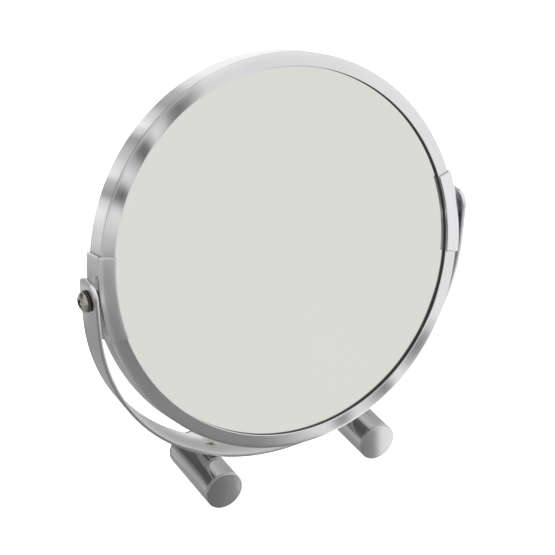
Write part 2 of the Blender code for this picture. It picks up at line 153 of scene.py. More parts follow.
class Nodes:
    """Shorthand for building a node tree."""

    def __init__(self, tree):
        self.tree = tree
        self.tree.nodes.clear()

    def add(self, kind, inputs=None, **settings):
        node = self.tree.nodes.new(kind)
        for key, value in settings.items():
            setattr(node, key, value)
        for key, value in (inputs or {}).items():
            if isinstance(value, bpy.types.NodeSocket):
                self.tree.links.new(value, node.inputs[key])
            else:
                node.inputs[key].default_value = value
        return node

    def math(self, operation, a, b=0.0):
        return self.add("ShaderNodeMath", {0: a, 1: b}, operation=operation).outputs[0]

    def dot(self, a, b):
        node = self.add("ShaderNodeVectorMath", {0: a, 1: b}, operation="DOT_PRODUCT")
        return node.outputs["Value"]

    def ramp(self, fac, stops, interpolation="EASE"):
        node = self.add("ShaderNodeValToRGB", {"Fac": fac})
        ramp = node.color_ramp
        ramp.interpolation = interpolation
        while len(ramp.elements) > 1:
            ramp.elements.remove(ramp.elements[-1])
        for index, (place, value) in enumerate(stops):
            element = ramp.elements[0] if index == 0 else ramp.elements.new(place)
            element.position = place
            colour = value if isinstance(value, tuple) else (value, value, value)
            element.color = (*colour, 1.0)
        return node.outputs["Color"]

    def noise(self, vector, scale, detail=3.0, roughness=0.5):
        node = self.add("ShaderNodeTexNoise", {
            "Vector": vector, "Scale": scale, "Detail": detail, "Roughness": roughness})
        return node.outputs["Fac"]

    def remap(self, value, low, high, out_low, out_high):
        node = self.add("ShaderNodeMapRange", {
            "Value": value, "From Min": low, "From Max": high,
            "To Min": out_low, "To Max": out_high})
        return node.outputs["Result"]

    def colour_mix(self, fac, a, b):
        """Mix two colours, which have sockets 6 and 7 on the Mix node and come out at 2."""
        node = self.add("ShaderNodeMix", data_type="RGBA")
        for index, value in ((0, fac), (6, a), (7, b)):
            if isinstance(value, bpy.types.NodeSocket):
                self.tree.links.new(value, node.inputs[index])
            else:
                node.inputs[index].default_value = value
        return node.outputs[2]

    def bump(self, height, distance, strength=1.0, normal=None):
        inputs = {"Height": height, "Distance": distance, "Strength": strength}
        if normal is not None:
            inputs["Normal"] = normal
        return self.add("ShaderNodeBump", inputs).outputs["Normal"]


def principled(name, colour, roughness, bump=None, metallic=1.0, **constants):
    """A Principled material whose colour, roughness and bump are functions that add nodes.

    Returns the material, its node helper and its shader node.
    """
    material = bpy.data.materials.new(name)
    material.use_nodes = True
    nodes = Nodes(material.node_tree)
    shader = nodes.add("ShaderNodeBsdfPrincipled")
    output = nodes.add("ShaderNodeOutputMaterial")
    nodes.tree.links.new(shader.outputs["BSDF"], output.inputs["Surface"])
    coords = nodes.add("ShaderNodeTexCoord").outputs["Object"]
    nodes.tree.links.new(colour(nodes, coords), shader.inputs["Base Color"])
    nodes.tree.links.new(roughness(nodes, coords), shader.inputs["Roughness"])
    if bump is not None:
        nodes.tree.links.new(bump(nodes, coords), shader.inputs["Normal"])
    shader.inputs["Metallic"].default_value = metallic
    for key, value in constants.items():
        shader.inputs[key.replace("_", " ")].default_value = value
    return material, nodes, shader


def two_tone(low, high, scale, detail=4.0):
    """A mottled colour between two tones."""
    def colour(nodes, coords):
        fac = nodes.remap(nodes.noise(coords, scale, detail), 0.3, 0.7, 0.0, 1.0)
        return nodes.colour_mix(fac, (*low, 1.0), (*high, 1.0))
    return colour


def varied(low, high, scale, detail=4.0):
    """A value that wanders between two limits."""
    def value(nodes, coords):
        return nodes.remap(nodes.noise(coords, scale, detail), 0.3, 0.7, low, high)
    return value


def grainy(scale, distance, detail=2.0, strength=1.0):
    """A fine, even bump."""
    def bump(nodes, coords):
        return nodes.bump(nodes.noise(coords, scale, detail), distance, strength)
    return bump


def stretched(nodes, coords, factors):
    """Coordinates scaled apart along the three axes, for streaks."""
    node = nodes.add("ShaderNodeVectorMath", {0: coords, 1: factors}, operation="MULTIPLY")
    return node.outputs["Vector"]


def polar(nodes, coords, per_radius, per_height, per_turn):
    """Coordinates that run along a turned piece's radius, height and circumference."""
    x, y, z = nodes.add("ShaderNodeSeparateXYZ", {0: coords}).outputs
    squares = nodes.math("ADD", nodes.math("MULTIPLY", x, x), nodes.math("MULTIPLY", y, y))
    radius = nodes.math("MULTIPLY", nodes.math("SQRT", squares), per_radius)
    height = nodes.math("MULTIPLY", z, per_height)
    angle = nodes.math("ABSOLUTE", nodes.math("ARCTAN2", y, x))
    turn = nodes.math("MULTIPLY", angle, per_turn)
    return nodes.add("ShaderNodeCombineXYZ", {0: radius, 1: height, 2: turn}).outputs[0]


def rim_steel():
    """Spun steel: fine turning lines round the rim, so highlights fan out across it."""
    def lines(nodes, coords):
        across = polar(nodes, coords, per_radius=5200.0, per_height=5200.0, per_turn=3.0)
        return nodes.noise(across, scale=1.0, detail=3.0, roughness=0.6)

    def colour(nodes, coords):
        cloud = nodes.noise(coords, scale=55.0, detail=4.0)
        smudge = nodes.remap(cloud, 0.35, 0.7, 0.0, 1.0)
        base = nodes.colour_mix(smudge, (0.905, 0.895, 0.91, 1.0), (0.88, 0.87, 0.885, 1.0))
        groove = nodes.remap(lines(nodes, coords), 0.3, 0.7, 0.0, 0.12)
        return nodes.colour_mix(groove, base, (0.80, 0.79, 0.805, 1.0))

    def roughness(nodes, coords):
        fine = nodes.remap(lines(nodes, coords), 0.3, 0.7, 0.07, 0.11)
        cloud = nodes.noise(coords, scale=38.0, detail=3.0)
        smudge = nodes.remap(cloud, 0.55, 0.75, 0.0, 0.03)
        return nodes.math("ADD", fine, smudge)

    def bump(nodes, coords):
        return nodes.bump(lines(nodes, coords), distance=0.000004, strength=0.6)

    material, nodes, shader = principled("spun_steel", colour, roughness, bump,
                                         Anisotropic=0.85, Anisotropic_Rotation=0.25)
    tangent = nodes.add("ShaderNodeTangent", direction_type="RADIAL", axis="Z")
    nodes.tree.links.new(tangent.outputs["Tangent"], shader.inputs["Tangent"])
    return material


def satin_plate(name, low, high, roughness):
    """Satin silver plating: fine grain and faint clouds under a thin clear coat."""
    spread = 0.03

    def colour(nodes, coords):
        flake = nodes.remap(nodes.noise(coords, scale=5200.0, detail=1.0), 0.42, 0.66, 0.0, 1.0)
        cloud = nodes.remap(nodes.noise(coords, scale=42.0, detail=4.0), 0.3, 0.7, 0.0, 0.35)
        base = nodes.colour_mix(cloud, (*high, 1.0), (*low, 1.0))
        return nodes.colour_mix(nodes.math("MULTIPLY", flake, 0.22), base, (*low, 1.0))

    def rough(nodes, coords):
        fine = nodes.remap(nodes.noise(coords, scale=3100.0, detail=2.0), 0.3, 0.7,
                           roughness - spread, roughness + spread)
        worn = nodes.remap(nodes.noise(coords, scale=60.0, detail=3.0), 0.5, 0.75, 0.0, 0.05)
        return nodes.math("ADD", fine, worn)

    def bump(nodes, coords):
        waves = nodes.noise(coords, scale=420.0, detail=2.0)
        grain = nodes.noise(coords, scale=4200.0, detail=1.0)
        wavy = nodes.bump(waves, distance=0.000012, strength=0.2)
        return nodes.bump(grain, distance=0.0000015, strength=0.3, normal=wavy)

    return principled(name, colour, rough, bump, Coat_Weight=0.12, Coat_Roughness=0.28)[0]


def chrome():
    """Bright chrome on drawn tube, with wiping marks that run along it."""
    def roughness(nodes, coords):
        streaks = stretched(nodes, coords, (260.0, 60.0, 260.0))
        wipe = nodes.noise(streaks, scale=1.0, detail=4.0)
        return nodes.remap(wipe, 0.35, 0.75, 0.035, 0.085)

    def bump(nodes, coords):
        streaks = stretched(nodes, coords, (1500.0, 45.0, 1500.0))
        drawn = nodes.noise(streaks, scale=1.0, detail=2.0)
        return nodes.bump(drawn, distance=0.000003, strength=0.35)

    colour = two_tone((0.80, 0.80, 0.81), (0.86, 0.86, 0.875), scale=70.0)
    return principled("chrome", colour, roughness, bump)[0]


def cap_metal():
    """Satin metal of the tubes' end caps."""
    def grain(nodes, coords):
        return nodes.noise(stretched(nodes, coords, (900.0, 900.0, 4200.0)), scale=1.0)

    def roughness(nodes, coords):
        return nodes.remap(grain(nodes, coords), 0.3, 0.7, 0.10, 0.15)

    def bump(nodes, coords):
        return nodes.bump(grain(nodes, coords), distance=0.000003, strength=0.3)

    colour = two_tone((0.74, 0.74, 0.75), (0.78, 0.78, 0.79), scale=160.0)
    return principled("cap_satin", colour, roughness, bump)[0]


def mirror_glass():
    """Silvered float glass, with a breath of dust and wiping marks."""
    def roughness(nodes, coords):
        streaks = stretched(nodes, coords, (26.0, 90.0, 26.0))
        wipe = nodes.noise(streaks, scale=1.0, detail=5.0, roughness=0.6)
        dust = nodes.noise(coords, scale=2600.0, detail=1.0)
        return nodes.math("ADD", nodes.remap(wipe, 0.45, 0.8, 0.004, 0.03),
                          nodes.remap(dust, 0.72, 0.80, 0.0, 0.02))

    colour = two_tone((0.835, 0.838, 0.792), (0.842, 0.845, 0.80), scale=9.0, detail=2.0)
    ripple = grainy(6.0, distance=0.00002, detail=1.0, strength=0.05)
    return principled("mirror_silver", colour, roughness, ripple)[0]


def plain_metal(name, low, high, mottle, roughness, patch, bump):
    """A metal of two tones; mottle and patch are how fine its colour and roughness vary."""
    return principled(name, two_tone(low, high, mottle), varied(*roughness, patch), bump)[0]


def glass_edge():
    """The ground edge of the glass, green where it isn't silvered."""
    colour = two_tone((0.10, 0.17, 0.15), (0.16, 0.24, 0.21), scale=300.0)
    return principled("glass_edge", colour, varied(0.12, 0.25, scale=700.0),
                      grainy(1500.0, distance=0.00001), metallic=0.0)[0]


def rubber(name, low, high, roughness):
    """A matt moulded material: rubber, nylon or board."""
    spread = 0.08
    return principled(name, two_tone(low, high, scale=500.0),
                      varied(roughness - spread, roughness + spread, scale=900.0),
                      grainy(2600.0, distance=0.00003, strength=0.6), metallic=0.0)[0]


STEEL = rim_steel()
YOKE_PLATE = satin_plate("satin_plate", (0.82, 0.82, 0.835), (0.91, 0.91, 0.925), 0.22)
CLIP_PLATE = satin_plate("clip_plate", (0.88, 0.875, 0.895), (0.965, 0.96, 0.98), 0.14)
CHROME = chrome()
CAP = cap_metal()
NICKEL = plain_metal("nickel", (0.60, 0.565, 0.52), (0.70, 0.665, 0.61), 420.0,
                     (0.13, 0.26), 900.0, grainy(2400.0, 0.00001, strength=0.5))
# Dark metal for the screws' cross recesses: painted shade that stands for the shade falling in the
# hollow of the plated recess
PAINTED_RECESS_SHADE = plain_metal("recess_painted_shade", (0.10, 0.09, 0.08), (0.20, 0.18, 0.16), 900.0,
                     (0.4, 0.6), 1200.0, grainy(3000.0, 0.00001))
SILVER = mirror_glass()
GLASS_EDGE = glass_edge()
SEAL = rubber("seal_rubber", (0.030, 0.034, 0.041), (0.048, 0.054, 0.064), 0.5)
BLACK_NYLON = rubber("black_nylon", (0.050, 0.049, 0.052), (0.085, 0.083, 0.088), 0.45)
WHITE_NYLON = rubber("white_nylon", (0.66, 0.66, 0.63), (0.76, 0.76, 0.73), 0.5)
SILICONE = rubber("clear_silicone", (0.60, 0.62, 0.62), (0.72, 0.74, 0.74), 0.35)
BOARD = rubber("grey_board", (0.26, 0.245, 0.22), (0.42, 0.40, 0.37), 0.8)
BRASS = plain_metal("brass", (0.62, 0.45, 0.20), (0.76, 0.57, 0.28), 350.0,
                    (0.25, 0.38), 800.0, grainy(2200.0, 0.00001))


# Mesh helpers

def arc(centre, radius, start, end, steps):
    """Points on an arc in the plane, both ends included."""
    points = []
    for index in range(steps + 1):
        angle = start + (end - start) * index / steps
        points.append((centre[0] + radius * math.cos(angle),
                       centre[1] + radius * math.sin(angle)))
    return points


def smooth(mesh, sharp=35.0):
    """Shade smooth, except over edges that turn more than the angle in degrees."""
    mesh.shade_smooth()
    mesh.set_sharp_from_angle(angle=math.radians(sharp))


def turned(name, profile, steps, closed=False, start=0.0, sweep=TAU):
    """A mesh made by turning a profile of (radius, height) points about Z by the sweep."""
    whole = sweep == TAU
    columns = steps if whole else steps + 1
    mesh = bmesh.new()
    rings = []
    for index in range(columns):
        angle = start + sweep * index / steps
        across, up = math.cos(angle), math.sin(angle)
        rings.append([mesh.verts.new((r * across, r * up, z)) for r, z in profile])
    rows = len(profile) if closed else len(profile) - 1
    for index in range(steps):
        here = rings[index]
        there = rings[(index + 1) % columns]
        for row in range(rows):
            after = (row + 1) % len(profile)
            mesh.faces.new((here[row], here[after], there[after], there[row]))
    bmesh.ops.remove_doubles(mesh, verts=mesh.verts, dist=1e-7)
    bmesh.ops.dissolve_degenerate(mesh, edges=mesh.edges, dist=1e-8)
    bmesh.ops.recalc_face_normals(mesh, faces=mesh.faces)
    data = bpy.data.meshes.new(name)
    mesh.to_mesh(data)
    mesh.free()
    smooth(data)
    return data


def temporary(name, mesh, matrix=None):
    """An object to work on, which applied() or its maker removes."""
    item = bpy.data.objects.new(name, mesh)
    bpy.context.scene.collection.objects.link(item)
    if matrix is not None:
        item.matrix_world = matrix
    return item


def applied(item, name):
    """The mesh of an object with its modifiers applied; the object is removed."""
    bpy.context.view_layer.update()
    graph = bpy.context.evaluated_depsgraph_get()
    mesh = bpy.data.meshes.new_from_object(item.evaluated_get(graph))
    bpy.data.objects.remove(item, do_unlink=True)
    mesh.name = name
    return mesh


def cut(item, cutter):
    """Take the cutter's shape out of the item; the cut faces get the cutter's material."""
    modifier = item.modifiers.new("Cut", "BOOLEAN")
    modifier.operation = "DIFFERENCE"
    modifier.solver = "EXACT"
    modifier.material_mode = "TRANSFER"
    modifier.object = cutter


def round_edges(item, angle=50.0):
    """Round the edges that turn more than the angle in degrees."""
    bevel = item.modifiers.new("Edges", "BEVEL")
    bevel.width = SHEET_EDGE
    bevel.segments = 3
    bevel.limit_method = "ANGLE"
    bevel.angle_limit = math.radians(angle)
    bevel.use_clamp_overlap = True


def finish(name, mesh, materials, body, nodes, matrix=None):
    """Put a finished mesh in the scene as the piece that stands for some CAD nodes."""
    mesh.name = name
    indices = [min(face.material_index, len(materials) - 1) for face in mesh.polygons]
    mesh.materials.clear()
    for material in materials:
        mesh.materials.append(material)
    mesh.polygons.foreach_set("material_index", indices)
    item = bpy.data.objects.new(name, mesh)
    bpy.context.scene.collection.objects.link(item)
    if matrix is not None:
        item.matrix_world = matrix
    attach(item, body)
    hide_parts(*nodes)
    return item


def cut_cross(mesh, size, top, turn):
    """A screw with a cross recess, cut with two wedges that narrow towards the bottom.

    The size is the cross's length, width and depth, and top is the height of the head.
    """
    length, width, depth = size
    taper = 0.5
    # The faces that the wedges cut take the dark recess material, which is painted shade in the
    # recess
    mesh.materials.append(NICKEL)
    mesh.materials.append(PAINTED_RECESS_SHADE)
    item = temporary("screw", mesh)
    place = Matrix.Translation((0.0, 0.0, top)) @ Matrix.Rotation(turn, 4, "Z")
    tools = []
    for x, y in ((length, width), (width, length)):
        wedge = bmesh.new()
        bmesh.ops.create_cube(wedge, size=1.0)
        bmesh.ops.scale(wedge, vec=(x, y, 2 * depth), verts=wedge.verts)
        low = [vert for vert in wedge.verts if vert.co.z < 0]
        bmesh.ops.scale(wedge, vec=(taper, taper, 1.0), verts=low)
        data = bpy.data.meshes.new("cross")
        wedge.to_mesh(data)
        wedge.free()
        data.materials.append(PAINTED_RECESS_SHADE)
        tool = temporary("cross", data, place)
        cut(item, tool)
        tools.append(tool)
    mesh = applied(item, "screw")
    for tool in tools:
        bpy.data.objects.remove(tool, do_unlink=True)
    smooth(mesh, 32.0)
    return mesh


def rod(name, radius, length, steps):
    """A cylinder along Z, centred on the origin."""
    half = length / 2
    return turned(name, [(0.0, half), (radius, half), (radius, -half), (0.0, -half)], steps)


# The head

def face_profile():
    """The front lip of the rim from its hem outwards: a crowned face and a rolled corner."""
    start = LIP_RADIUS + HEM
    end = RIM_RADIUS - CORNER + CORNER * math.sin(FACE_SLOPES[1])
    slopes = [math.tan(slope) for slope in FACE_SLOPES]
    points = arc((start, FACE_TOP - HEM), HEM, math.pi, math.pi / 2, HEM_STEPS)
    for index in range(1, FACE_STEPS + 1):
        part = index / FACE_STEPS
        drop = (end - start) * (slopes[0] * part + (slopes[1] - slopes[0]) * part ** 2 / 2)
        points.append((start + (end - start) * part, FACE_TOP - drop))
    centre = (RIM_RADIUS - CORNER, points[-1][1] - CORNER * math.cos(FACE_SLOPES[1]))
    points += arc(centre, CORNER, math.pi / 2 - FACE_SLOPES[1], 0.0, CORNER_STEPS)[1:]
    return points


def make_rim():
    front = face_profile()
    outside = front + [(r, -z) for r, z in reversed(front)]
    inside = [(r, z - SHEET) for r, z in front[HEM_STEPS:HEM_STEPS + FACE_STEPS + 1]]
    inside.append((RIM_RADIUS - SHEET, inside[-1][1] - SHEET))
    profile = outside + [(r, -z) for r, z in inside] + inside[::-1]
    mesh = turned("spun_rim", profile, RIM_TURN, closed=True)
    finish("spun_rim", mesh, [STEEL], "mirror_head", ["rim"], HEAD)


def make_glass():
    top = GLASS_FACE
    bottom = GLASS_FACE - GLASS_THICKNESS
    rings = 16
    profile = [(GLASS_RADIUS * index / rings, top) for index in range(rings)]
    profile += [
        (GLASS_RADIUS - GLASS_CHAMFER, top),
        (GLASS_RADIUS, top - GLASS_CHAMFER),
        (GLASS_RADIUS, bottom + GLASS_CHAMFER),
        (GLASS_RADIUS - GLASS_CHAMFER, bottom),
        (0.0, bottom),
    ]
    mesh = turned("front_mirror", profile, GLASS_TURN)
    item = finish("front_mirror", mesh, [SILVER, GLASS_EDGE], "mirror_head", ["glass_front"],
                  HEAD)
    mark_edge(item)

    rings = 24
    face = []
    for index in range(rings + 1):
        part = index / rings
        face.append((GLASS_RADIUS * part, REAR_SAG * (1 - part ** 2) - GLASS_FACE))
    back = [(r, z + GLASS_THICKNESS) for r, z in face]
    mesh = turned("rear_mirror", back + face[::-1], GLASS_TURN)
    item = finish("rear_mirror", mesh, [SILVER, GLASS_EDGE], "mirror_head", ["glass_rear"],
                  HEAD)
    mark_edge(item)


def mark_edge(item, tilt=20.0):
    """Put the second material on the faces that tilt by more than so many degrees."""
    limit = math.cos(math.radians(tilt))
    for face in item.data.polygons:
        face.material_index = 0 if abs(face.normal.z) > limit else 1


def make_seals():
    """A rubber ring closes the slot between each lip and its glass."""
    low = GLASS_FACE + 0.03 * MM
    high = FACE_TOP - SHEET - 0.05 * MM
    inner = LIP_RADIUS + 0.12 * MM
    outer = GLASS_RADIUS - 0.4 * MM
    slope = (outer - inner) * math.tan(FACE_SLOPES[0]) * 1.1
    profile = arc((inner + SEAL_BEAD, high - SEAL_BEAD), SEAL_BEAD, math.pi / 2, math.pi,
                  EDGE_STEPS)
    profile += arc((inner + SEAL_BEAD, low + SEAL_BEAD), SEAL_BEAD, math.pi, 1.5 * math.pi,
                   EDGE_STEPS)
    profile += [(outer, low), (outer, high - slope)]
    for label, turn in (("front", 0.0), ("rear", math.pi)):
        mesh = turned("seal_bead_" + label, profile, GLASS_TURN, closed=True)
        finish("seal_bead_" + label, mesh, [SEAL], "mirror_head", ["seal_" + label],
               HEAD @ Matrix.Rotation(turn, 4, "X"))


def outwards(side, x):
    """The frame of a turned piece on the pivot axis, its +Z away from the head."""
    place = Matrix.Translation((side * x, 0.0, 0.0))
    return HEAD @ place @ Matrix.Rotation(side * math.pi / 2, 4, "Y")


def clip_line(clear):
    """The rim's outline from lip to lip, moved outwards by the clearance."""
    slope = sum(FACE_SLOPES) / 2
    points = arc((RIM_RADIUS - CORNER, 0.0), CORNER + clear, math.pi / 2 - slope, 0.0,
                 CORNER_STEPS)
    top = FACE_TOP + clear / math.cos(slope)
    level = top - (points[0][0] - LIP_RADIUS) * math.tan(slope) - points[0][1]
    points = [(LIP_RADIUS, top)] + [(r, z + level) for r, z in points]
    return points + [(r, -z) for r, z in reversed(points)]


def make_clip(label, side):
    """A plate wrapped over the rim from lip to lip, with a hole for the pivot screw."""
    inner = clip_line(CLIP_GAP)
    outer = clip_line(CLIP_GAP + CLIP_SHEET)
    middle = 0.0 if side > 0 else math.pi
    mesh = turned("clip", outer + inner[::-1], CLIP_STEPS, closed=True,
                  start=middle - CLIP_HALF_SPAN, sweep=2 * CLIP_HALF_SPAN)
    solid = bmesh.new()
    solid.from_mesh(mesh)
    bmesh.ops.holes_fill(solid, edges=[edge for edge in solid.edges if edge.is_boundary])
    bmesh.ops.recalc_face_normals(solid, faces=solid.faces)
    solid.to_mesh(mesh)
    solid.free()
    item = temporary("clip", mesh)
    round_edges(item)
    through = 12.0 * MM
    hole = temporary("clip_hole", rod("clip_hole", PIVOT_SHANK + PLAY, through, HOLE_TURN),
                     Matrix.Translation((side * RIM_RADIUS, 0.0, 0.0))
                     @ Matrix.Rotation(math.pi / 2, 4, "Y"))
    cut(item, hole)
    mesh = applied(item, "clip")
    bpy.data.objects.remove(hole, do_unlink=True)
    smooth(mesh, 40.0)
    finish("pivot_plate_" + label, mesh, [CLIP_PLATE], "mirror_head", ["pivot_clip_" + label],
           HEAD)


def make_pivot_screw(label, side):
    """A domed screw whose head sits on the outer washer."""
    seat = SCREW_TOP - PIVOT_HEAD_HEIGHT
    length = seat - SCREW_TIP
    edge = 0.55 * MM
    steps = 14
    points = [(0.0, PIVOT_HEAD_HEIGHT)]
    for index in range(1, steps + 1):
        angle = index / steps * math.pi / 2
        points.append((PIVOT_HEAD_RADIUS * math.sin(angle),
                       edge + (PIVOT_HEAD_HEIGHT - edge) * math.cos(angle)))
    points += [
        (PIVOT_HEAD_RADIUS - 0.05 * MM, edge * 0.4),
        (PIVOT_HEAD_RADIUS - 0.25 * MM, 0.0),
        (PIVOT_SHANK, 0.0),
        (PIVOT_SHANK, -length),
        (0.0, -length),
    ]
    mesh = cut_cross(turned("screw", points, SCREW_TURN), PIVOT_CROSS, PIVOT_HEAD_HEIGHT,
                     PIVOT_CROSS_TURN)
    finish("cross_screw_" + label, mesh, [NICKEL, PAINTED_RECESS_SHADE], "mirror_head",
           ["pivot_screw_" + label], outwards(side, seat))


def ring_profile(inner, outer, thickness, edge):
    """A washer's section with rounded edges, its underside at z = 0."""
    points = arc((outer - edge, thickness - edge), edge, math.pi / 2, 0.0, EDGE_STEPS)
    points += arc((outer - edge, edge), edge, 0.0, -math.pi / 2, EDGE_STEPS)
    return [(inner, thickness)] + points + [(inner, 0.0)]


def make_washer(label, side, place, colour, material, edge):
    """A washer between clip and yoke (inner) or between yoke and screw head (outer)."""
    low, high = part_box("pivot_washer_%s_right" % place)
    profile = ring_profile(PIVOT_SHANK + PLAY, high.y, high.x - low.x, edge)
    mesh = turned("washer", profile, SCREW_TURN, closed=True)
    finish("%s_washer_%s" % (colour, label), mesh, [material], "mirror_head",
           ["pivot_washer_%s_%s" % (place, label)], outwards(side, low.x))


# The stand

def yoke_sheet():
    """The yoke's band as a sheet in its middle plane."""
    middle = YOKE_RADIUS - YOKE_SHEET / 2
    leg_top = middle / math.cos(LEG_LEAN) + (YOKE_DROP + TAB_TOP) * math.tan(LEG_LEAN)
    path = [(-leg_top, TAB_TOP)]
    path += arc((0.0, -YOKE_DROP), middle, math.pi + LEG_LEAN, TAU - LEG_LEAN, YOKE_STEPS)
    path += [(leg_top, TAB_TOP)]
    sheet = bmesh.new()
    low = [sheet.verts.new((x, -YOKE_HALF_WIDTH, z)) for x, z in path]
    high = [sheet.verts.new((x, YOKE_HALF_WIDTH, z)) for x, z in path]
    for index in range(len(path) - 1):
        sheet.faces.new((low[index], low[index + 1], high[index + 1], high[index]))
    bmesh.ops.bevel(sheet, geom=[low[0], high[0], low[-1], high[-1]], offset=TAB_CORNER,
                    offset_type="OFFSET", segments=TAB_STEPS, profile=0.5, affect="VERTICES")
    data = bpy.data.meshes.new("yoke_sheet")
    sheet.to_mesh(data)
    sheet.free()
    return data


def foot_seat(side):
    """Where the foot screw meets the yoke's inside."""
    radius = YOKE_RADIUS - YOKE_SHEET
    place = Vector((side * radius * math.sin(FOOT_ANGLE), 0.0,
                    YOKE_CENTRE_Z - radius * math.cos(FOOT_ANGLE)))
    return Matrix.Translation(place) @ Matrix.Rotation(-side * FOOT_ANGLE, 4, "Y")


def make_yoke():
    """The band with its thickness, the bore through both tabs and two countersunk holes."""
    item = temporary("yoke_band", yoke_sheet(), Matrix.Translation(PIVOT))
    item.data.shade_smooth()
    solid = item.modifiers.new("Thickness", "SOLIDIFY")
    solid.thickness = YOKE_SHEET
    solid.offset = 0.0
    solid.use_even_offset = True
    round_edges(item, 60.0)
    tools = [temporary("bore", rod("bore", PIVOT_HOLE, 2.2 * YOKE_RADIUS, HOLE_TURN),
                       Matrix.Translation(PIVOT) @ Matrix.Rotation(math.pi / 2, 4, "Y"))]
    reach = FOOT_SCREW_HEAD + PLAY * math.sqrt(2)
    hole = FOOT_SCREW_SHANK + PLAY
    above = 1.0 * MM
    sink = [
        (0.0, above),
        (reach + above, above),
        (hole, hole - reach),
        (hole, -SINK_DEPTH),
        (0.0, -SINK_DEPTH),
    ]
    for label, side in SIDES:
        tools.append(temporary("sink_" + label, turned("sink", sink, HOLE_TURN), foot_seat(side)))
    for tool in tools:
        cut(item, tool)
    mesh = applied(item, "yoke_band")
    for tool in tools:
        bpy.data.objects.remove(tool, do_unlink=True)
    smooth(mesh, 40.0)
    finish("yoke_band", mesh, [YOKE_PLATE], "stand", ["yoke"], Matrix.Translation(PIVOT))


def along_y(side, y, turn=1):
    """The frame of a foot piece, its +Z to the front, or to the rear with turn -1."""
    return (Matrix.Translation((side * FOOT_X, y, FOOT_Z))
            @ Matrix.Rotation(turn * math.pi / 2, 4, "X"))


def make_tube(label, side):
    front = CAP_FRONT - CAP_FLANGE - SEAM
    rear = CAP_REAR - CAP_FLANGE - SEAM
    half = (front + rear) / 2
    place = along_y(side, (rear - front) / 2)
    edge = 0.25 * MM
    inner = FOOT_RADIUS - FOOT_WALL
    profile = [(inner, half)]
    profile += arc((FOOT_RADIUS - edge, half - edge), edge, math.pi / 2, 0.0,
                   TUBE_EDGE_STEPS)
    profile += arc((FOOT_RADIUS - edge, edge - half), edge, 0.0, -math.pi / 2,
                   TUBE_EDGE_STEPS)
    profile += [(inner, -half)]
    tube = temporary("tube", turned("tube", profile, TUBE_TURN, closed=True), place)
    length = 6.0 * MM
    depth = 4.0 * MM                    # of the bore's middle below the screw's seat
    bore = temporary("bore", rod("bore", FOOT_SCREW_SHANK + PLAY, length, FOOT_BORE_TURN),
                     foot_seat(side) @ Matrix.Translation((0.0, 0.0, -depth)))
    cut(tube, bore)
    mesh = applied(tube, "tube")
    bpy.data.objects.remove(bore, do_unlink=True)
    smooth(mesh)
    finish("chrome_tube_" + label, mesh, [CHROME], "stand", ["foot_tube_" + label],
           place)


def make_caps(label, side):
    """Two slightly crowned end caps, each with a stem inside the tube."""
    edge = 0.35 * MM
    rim = 0.12 * MM
    stem = FOOT_RADIUS - FOOT_WALL - SEAM
    steps = 12
    profile = [(FOOT_RADIUS * 0.93 * index / steps, -CROWN * (index / steps) ** 2)
               for index in range(steps + 1)]
    profile += arc((FOOT_RADIUS - edge, -CROWN - edge), edge, math.radians(80.0), 0.0, 7)
    profile += [
        (FOOT_RADIUS, -CAP_FLANGE + rim),
        (FOOT_RADIUS - rim, -CAP_FLANGE),
        (stem, -CAP_FLANGE),
        (stem, -CAP_FLANGE - CAP_STEM),
        (0.0, -CAP_FLANGE - CAP_STEM),
    ]
    for end, y, turn in (("front", -CAP_FRONT, 1), ("rear", CAP_REAR, -1)):
        mesh = turned("cap", profile, TUBE_TURN)
        finish("end_cap_%s_%s" % (end, label), mesh, [CAP], "stand",
               ["foot_cap_%s_%s" % (end, label)], along_y(side, y, turn))


def make_foot_screw(label, side):
    """A countersunk screw with a slightly raised head."""
    steps = 8
    sweep = 1.4
    points = []
    for index in range(steps + 1):
        part = index / steps
        radius = FOOT_SCREW_HEAD * 0.97 * math.sin(part * sweep) / math.sin(sweep)
        points.append((radius, CROWN * (1 - part ** 2)))
    points += [
        (FOOT_SCREW_HEAD, -0.05 * MM),
        (FOOT_SCREW_SHANK, FOOT_SCREW_SHANK - FOOT_SCREW_HEAD),
        (FOOT_SCREW_SHANK, -FOOT_SCREW_LENGTH),
        (0.0, -FOOT_SCREW_LENGTH),
    ]
    mesh = cut_cross(turned("screw", points, FOOT_SCREW_TURN), FOOT_CROSS, 0.0,
                     FOOT_CROSS_TURN)
    finish("countersunk_screw_" + label, mesh, [NICKEL, PAINTED_RECESS_SHADE], "stand",
           ["foot_screw_" + label], foot_seat(side))


def dress(name, material):
    """A better material on a CAD node whose shape stays."""
    item = frame["nodes"][name]
    for slot in item.material_slots:
        slot.material = material


make_rim()
make_glass()
make_seals()
for label, side in SIDES:
    make_clip(label, side)
    make_pivot_screw(label, side)
    make_washer(label, side, "outer", "black", BLACK_NYLON, 0.12 * MM)
    make_washer(label, side, "inner", "white", WHITE_NYLON, 0.1 * MM)
    make_tube(label, side)
    make_caps(label, side)
    make_foot_screw(label, side)
    dress("pivot_insert_" + label, BRASS)
    dress("foot_block_" + label, BRASS)
    dress("foot_pad_" + label, SILICONE)
make_yoke()
dress("spacer_ring", WHITE_NYLON)
dress("backing_board", BOARD)


# Studio

# What polished surfaces reflect towards the main camera, by the way they face. A facing has a
# tilt from the glass's normal and an angle round it, both in degrees. The angle counts from +X
# towards the top. Each table lists (angle, brightness) for one range of tilts.

